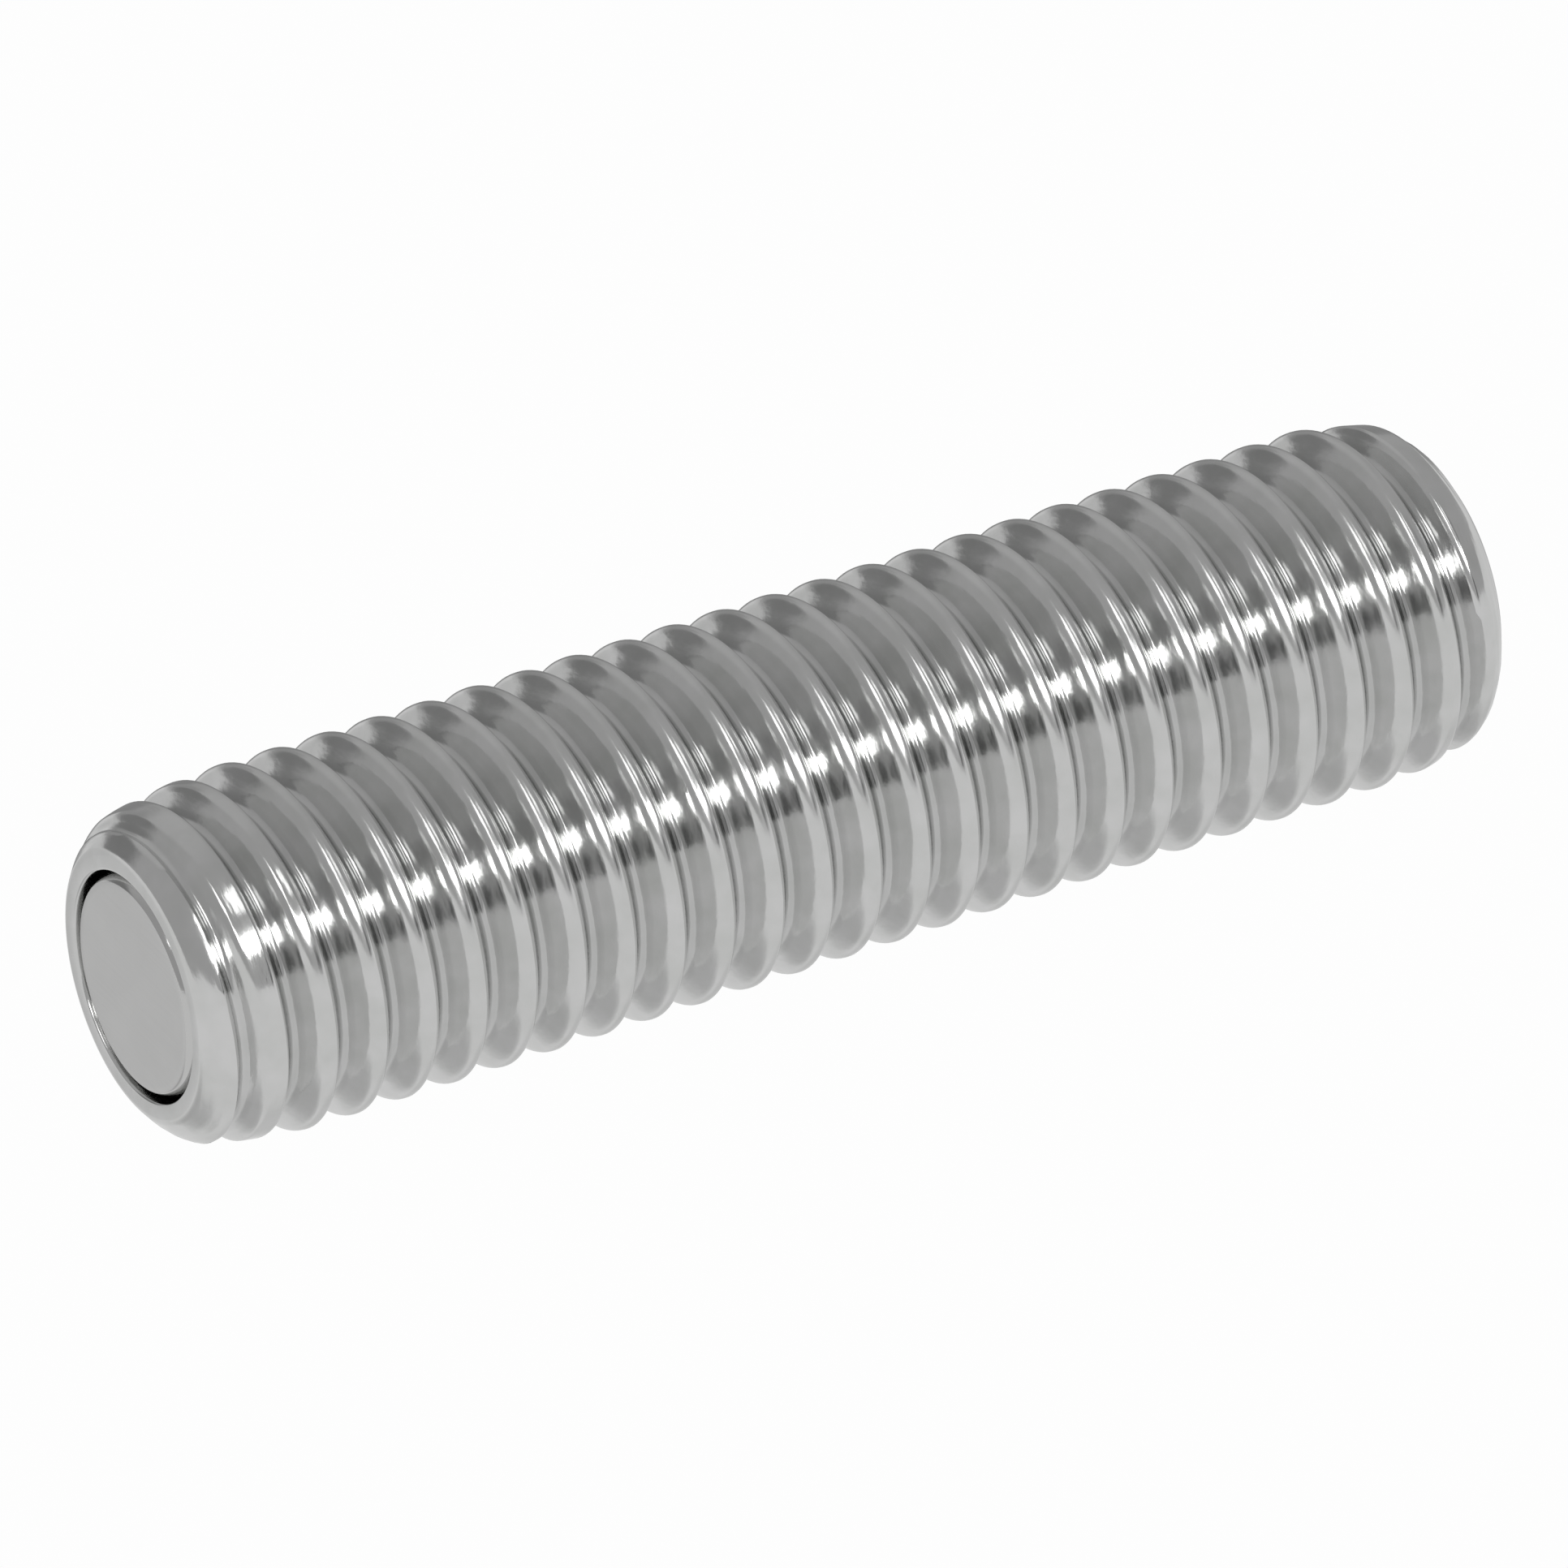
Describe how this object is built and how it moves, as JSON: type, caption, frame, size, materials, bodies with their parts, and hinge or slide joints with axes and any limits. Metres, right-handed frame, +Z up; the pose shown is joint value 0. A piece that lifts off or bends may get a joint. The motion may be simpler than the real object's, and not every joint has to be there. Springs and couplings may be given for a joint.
{
  "type": "ball-ended thrust screw",
  "caption": "Headless M10 thrust screw, fully threaded, with a captive flattened ball that swivels and spins in one end and a hexagon socket in the other.",
  "frame": {"origin": "centre of the ball's flat contact face, on the screw's axis", "axes": "+X along the screw's axis from the ball end to the drive end, +Z up with the screw lying down, +Y to the back"},
  "size_m": [0.04, 0.0098, 0.0098],
  "materials": {
    "rolled_thread_metal": "bright rolled metal, glossy, neutral grey",
    "ball_metal": "fine ground flat, satin mid grey",
    "pin_metal": "plain turned steel"
  },
  "bodies": {
    "screw": {"threaded_body": "rolled_thread_metal"},
    "pin": {"stop_pin": "pin_metal"},
    "ball": {"flat_ball": "ball_metal"}
  },
  "joints": [
    {"name": "ball_spin", "type": "hinge", "parent": "screw", "child": "pin", "pos_m": [0, 0, 0], "axis": [1, 0, 0], "continuous": true},
    {"name": "ball_tilt", "type": "hinge", "parent": "pin", "child": "ball", "pos_m": [0.00196, 0, 0], "axis": [0, 0, 1], "range_deg": [-9, 9]}
  ]
}
